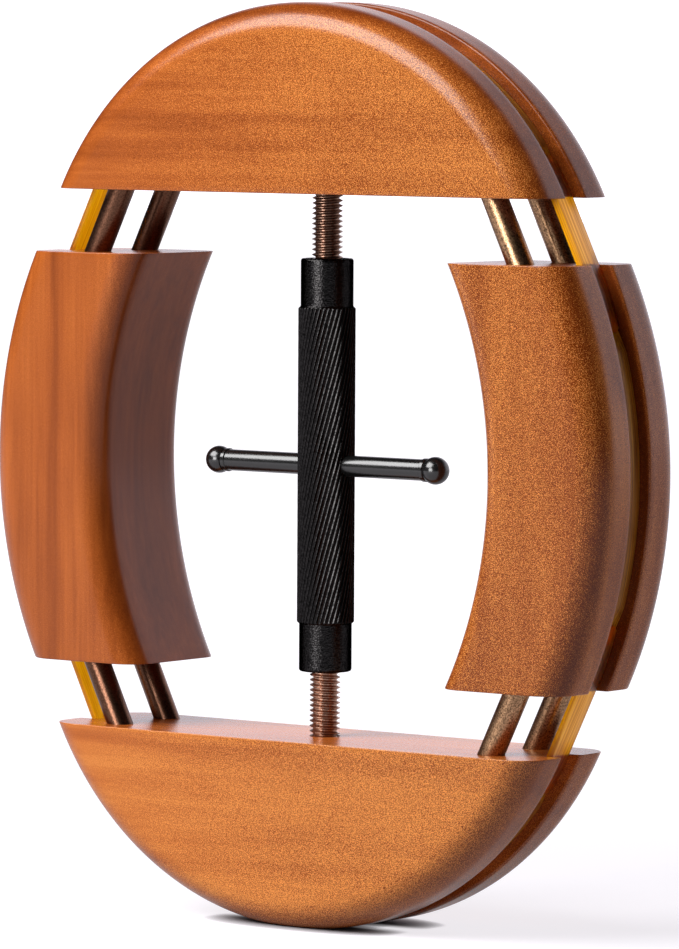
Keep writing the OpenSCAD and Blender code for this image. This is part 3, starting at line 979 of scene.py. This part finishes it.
def sleeve_rows():
    """Profile (height, radius, fluted or not), from mid bore up, over the end and down the outside."""
    shoulder = np.linspace(GRIP_HALF - SHOULDER, GRIP_HALF, 5)
    grip = np.concatenate([np.linspace(0, GRIP_HALF - ROW_ROOM, 40), shoulder])
    bore = [(z, BORE_R, 0) for z in np.linspace(0, BUSH_SEAT_Z, 24)]
    seat = [(BUSH_SEAT_Z, BUSH_SEAT_R, 0), (SLEEVE_HALF - SEAT_BEVEL, BUSH_SEAT_R, 0),
            (SLEEVE_HALF, BUSH_SEAT_R + SEAT_BEVEL, 0)]
    bevel = SLEEVE_BEVEL
    rounding = [(SLEEVE_HALF - bevel * (1 - math.cos(q)), COLLAR_R - bevel * (1 - math.sin(q)), 0)
                for q in QUARTER[::3]]
    collar_top, collar_foot = SLEEVE_HALF - bevel - COLLAR_ROOM, GRIP_HALF + COLLAR_GAP
    collar = [(z, COLLAR_R, 0) for z in np.linspace(collar_top, collar_foot, 8)]
    outside = [(z, COLLAR_R + GRIP_HALF - z, 1) for z in grip[::-1]]
    upper = np.array(bore + seat + rounding + collar + outside)
    return np.vstack([upper, upper[::-1] * [-1, 1, 1]])


def fluted_sleeve():
    """On the grip the radius loses a parabola in each flute, which leaves sharp ridges; columns lean."""
    height, radius, fluted = (column[:, None] for column in sleeve_rows().T)
    column = np.linspace(0, 2 * math.pi, FLUTES * PER_FLUTE, endpoint=False)
    off_middle = 2 * (column * FLUTES / (2 * math.pi) % 1) - 1
    flute = GRIP_R - FLUTE_DEPTH * (1 - off_middle**2)
    radius = np.where(fluted > 0, np.minimum(flute, np.maximum(radius, COLLAR_R)), radius)
    turn = column + LEAN * np.clip(height, -GRIP_HALF, GRIP_HALF)
    points = np.stack([radius * np.cos(turn), radius * np.sin(turn), height + 0 * turn], -1)
    return [grid(points, wrap=True)]


piece("grip_sleeve_skin", fluted_sleeve(), "handle", "grip_sleeve", black_sleeve)
for node in ("upper_thread_bush", "lower_thread_bush"):
    bush = frame["nodes"][node]
    bush.data.materials.clear()
    bush.data.materials.append(black_sleeve)

# %% [markdown]
# ## Cross bar
# A polished bar goes through the sleeve. Each end has a neck ring and a ball.
# Both are turned profiles, made upright and then laid along X.

# %% Cross bar and balls
BAR_R, BAR_LEN, BALL_R, NECK_R, NECK_LEN = 2.1, 53.0, 2.7, 2.3, 1.2
NECK_EASE, NECK_GROOVE, GROOVE_FROM, GROOVE_MIDDLE = 0.15, 0.35, 0.2, 0.1
BAR_END = BAR_LEN / 2 - BALL_R


def laid_along_x(points, hand):
    """Turns an upright shape so that its height runs along X, to the given hand."""
    return np.column_stack([hand * points[:, 2], points[:, 1], -hand * points[:, 0]])


def ball_profile():
    """Neck ring with eased edges, a narrow groove, and the ball as a half circle of angles."""
    meet = math.acos(NECK_LEN / BALL_R - 1)
    angle = np.linspace(meet, 0, 40)
    ball = np.stack([BALL_R * np.sin(angle), BALL_R * (1 + np.cos(angle))], -1)
    ring = [[0, 0], [NECK_R - NECK_EASE, 0], [NECK_R, NECK_EASE],
            [NECK_R, NECK_LEN - NECK_GROOVE], [NECK_R - NECK_EASE, NECK_LEN - GROOVE_FROM]]
    groove = [[BALL_R * math.sin(meet) - NECK_GROOVE, NECK_LEN - GROOVE_MIDDLE]]
    return np.vstack([ring, groove, ball]) + [0, BAR_END]


bar_side = straight((BAR_R, -BAR_END), (BAR_R, BAR_END), 60)
bar_profile = np.vstack([[0, -BAR_END], bar_side, [0, BAR_END]])
sheets = moved([turned(bar_profile, ROUND)], lambda p: laid_along_x(p, 1))
piece("cross_bar_skin", sheets, "handle", "cross_bar", black_bar)
for hand in (-1, 1):
    node = HAND_NAME[hand] + "_bar_ball"
    sheets = moved([turned(ball_profile(), ROUND)], lambda p: laid_along_x(p, hand))
    piece(node + "_skin", sheets, "handle", node, black_bar)

# %% [markdown]
# ## Floor and background
# The photograph has a white table that runs into a white background, with a soft shadow under the object.
# A bright lamp on the table would wash out the object. Here the floor is grey to the light that falls on
# it, and glows white for the camera and for reflections, and behind the object for the light it throws
# back. The glow has a painted contact shadow where the object sits close over it, and a painted shade
# that makes it dimmer near the object.

# %% Floor
TABLE_GREY, TABLE_GLOW = (0.30, 0.29, 0.31, 1), (0.98, 0.96, 1.0, 1)
MIRROR_SHARE, BEHIND_SHARE, BEHIND_END = 0.6, 0.6, 0.1
PAINTED_SHADOW_REACH, PAINTED_SHADOW_POWER = 0.0035, 2.0
GLOW_NEAR, GLOW_FAR = (0.15, 0.80), (0.9, 1.1)


def floor_finish():
    """A grey diffuse floor, plus a glow: what sees it, times a painted contact shadow, times a painted shade
    by distance.
    """
    made = bpy.data.materials.new("white_table")
    made.use_nodes = True
    tree = made.node_tree
    tree.nodes.clear()
    matt = tree.nodes.new("ShaderNodeBsdfDiffuse")
    matt.inputs["Color"].default_value = TABLE_GREY
    glow = tree.nodes.new("ShaderNodeEmission")
    glow.inputs["Color"].default_value = TABLE_GLOW
    where = tree.nodes.new("ShaderNodeTexCoord").outputs["Object"]
    depth = tree.nodes.new("ShaderNodeSeparateXYZ")
    wire(tree, where, depth.inputs[0])
    reach = tree.nodes.new("ShaderNodeVectorMath")
    reach.operation = "LENGTH"
    wire(tree, where, reach.inputs[0])
    seen = tree.nodes.new("ShaderNodeLightPath").outputs
    mirrored = math_node(tree, "MAXIMUM", seen["Is Glossy Ray"], seen["Is Transmission Ray"])
    mirrored = math_node(tree, "MULTIPLY", mirrored, MIRROR_SHARE)
    direct = math_node(tree, "MAXIMUM", seen["Is Camera Ray"], mirrored)
    behind = map_range(tree, depth.outputs["Y"], 0.0, BEHIND_END, 0.0, BEHIND_SHARE)
    direct = math_node(tree, "MAXIMUM", direct, math_node(tree, "MULTIPLY", seen["Is Diffuse Ray"], behind))
    # Painted contact shadow: the glow fades where the object is close over the floor.
    clear = tree.nodes.new("ShaderNodeAmbientOcclusion")
    clear.inputs["Distance"].default_value = PAINTED_SHADOW_REACH
    painted_contact_shadow = math_node(tree, "POWER", clear.outputs["AO"], PAINTED_SHADOW_POWER)
    # Painted shade: the glow is dimmer near the object than far from it.
    away = map_range(tree, reach.outputs["Value"], GLOW_NEAR[0], GLOW_FAR[0], GLOW_NEAR[1], GLOW_FAR[1])
    glowing = math_node(tree, "MULTIPLY", math_node(tree, "MULTIPLY", direct, painted_contact_shadow), away)
    wire(tree, glowing, glow.inputs["Strength"])
    both = tree.nodes.new("ShaderNodeAddShader")
    wire(tree, matt.outputs[0], both.inputs[0])
    wire(tree, glow.outputs[0], both.inputs[1])
    wire(tree, both.outputs[0], tree.nodes.new("ShaderNodeOutputMaterial").inputs[0])
    return made


FLOOR_HALF = 4.0
corners = np.array([[-1, -1, 0], [1, -1, 0], [1, 1, 0], [-1, 1, 0]]) * FLOOR_HALF
floor_mesh = bpy.data.meshes.new("floor")
floor_mesh.from_pydata(corners.tolist(), [], [[0, 1, 2, 3]])
floor_mesh.materials.append(floor_finish())
floor = bpy.data.objects.new("floor", floor_mesh)
bpy.context.scene.collection.objects.link(floor)
print("floor %.0f m wide" % (2 * FLOOR_HALF))

# %% [markdown]
# ## Light
# The photograph has a large soft light from the front left, a white wall behind the object and a dark
# room behind the camera. So the world is bright behind and dim in front, and the varnish shows both. A
# weaker low lamp is linked to the metal parts alone. It brings out the flutes of the black sleeve, and on
# the wood it would only lay a streak over the varnish.

# %% World
WORLD_TINT, CAMERA_WHITE = (0.96, 0.92, 1.0, 1), 1.1


def world_light():
    """White to the camera; to reflections white behind the object and dark in front; else a softer copy."""
    world = bpy.data.worlds.new("studio")
    bpy.context.scene.world = world
    world.use_nodes = True
    tree = world.node_tree
    direction = tree.nodes.new("ShaderNodeSeparateXYZ")
    wire(tree, tree.nodes.new("ShaderNodeTexCoord").outputs["Generated"], direction.inputs[0])

    def along(axis, start, end, low, high):
        made = map_range(tree, direction.outputs[axis], start, end, low, high)
        made.node.interpolation_type = "SMOOTHSTEP"
        return made

    seen = tree.nodes.new("ShaderNodeLightPath").outputs
    mirrored = math_node(tree, "MAXIMUM", seen["Is Glossy Ray"], seen["Is Transmission Ray"])
    soft = math_node(tree, "MULTIPLY", along("Y", 0.5, 0.95, 0.0, 2.2), along("Z", 0.3, 0.8, 1.0, 0.3))
    shown = math_node(tree, "MULTIPLY", along("Y", 0.5, 0.78, 0.02, 1.25), along("Z", 0.4, 0.8, 1.0, 0.15))
    change = math_node(tree, "MULTIPLY", mirrored, math_node(tree, "SUBTRACT", shown, soft))
    light = math_node(tree, "ADD", soft, change)
    white = math_node(tree, "MULTIPLY", seen["Is Camera Ray"], CAMERA_WHITE)
    background = tree.nodes["Background"].inputs
    wire(tree, math_node(tree, "MAXIMUM", light, white), background["Strength"])
    background["Color"].default_value = WORLD_TINT
    return world


print("world", world_light().name)

# %% Lamps
def soft_lamp(name, azimuth, elevation, distance, width, height, watts):
    """A broad lamp that faces the middle of the object from the given direction."""
    a, e = math.radians(azimuth), math.radians(elevation)
    away = np.array([math.sin(a) * math.cos(e), -math.cos(a) * math.cos(e), math.sin(e)])
    side = np.array([math.cos(a), math.sin(a), 0])
    lamp = bpy.data.objects.new(name, bpy.data.lights.new(name, "AREA"))
    lamp.data.shape = "RECTANGLE"
    lamp.data.size, lamp.data.size_y, lamp.data.energy = width, height, watts
    spot = away * distance + [0, 0, FOOT_Z * MM]
    pose = np.vstack([np.column_stack([side, np.cross(away, side), away, spot]), [0, 0, 0, 1]])
    lamp.matrix_world = Matrix(pose.tolist())
    bpy.context.scene.collection.objects.link(lamp)
    print("%s at %s" % (name, np.round(spot, 2)))
    return lamp


soft_lamp("front_lamp", azimuth=-32, elevation=42, distance=1.2, width=1.1, height=0.75, watts=25.5)
low_lamp = soft_lamp("low_lamp", azimuth=-6, elevation=9, distance=1.2, width=0.55, height=0.45, watts=9)
METAL_ENDINGS = ("rod_skin", "screw_skin", "sleeve_skin", "bar_skin", "ball_skin", "bush")
metal_parts = bpy.data.collections.new("metal_parts")
for made in bpy.context.scene.objects:
    if made.name.endswith(METAL_ENDINGS):
        metal_parts.objects.link(made)
low_lamp.light_linking.receiver_collection = metal_parts

# %% [markdown]
# ## Finish
# The view is plain Standard, so colours show as they are written.

# %% Finish
bpy.context.scene.view_settings.view_transform = "Standard"
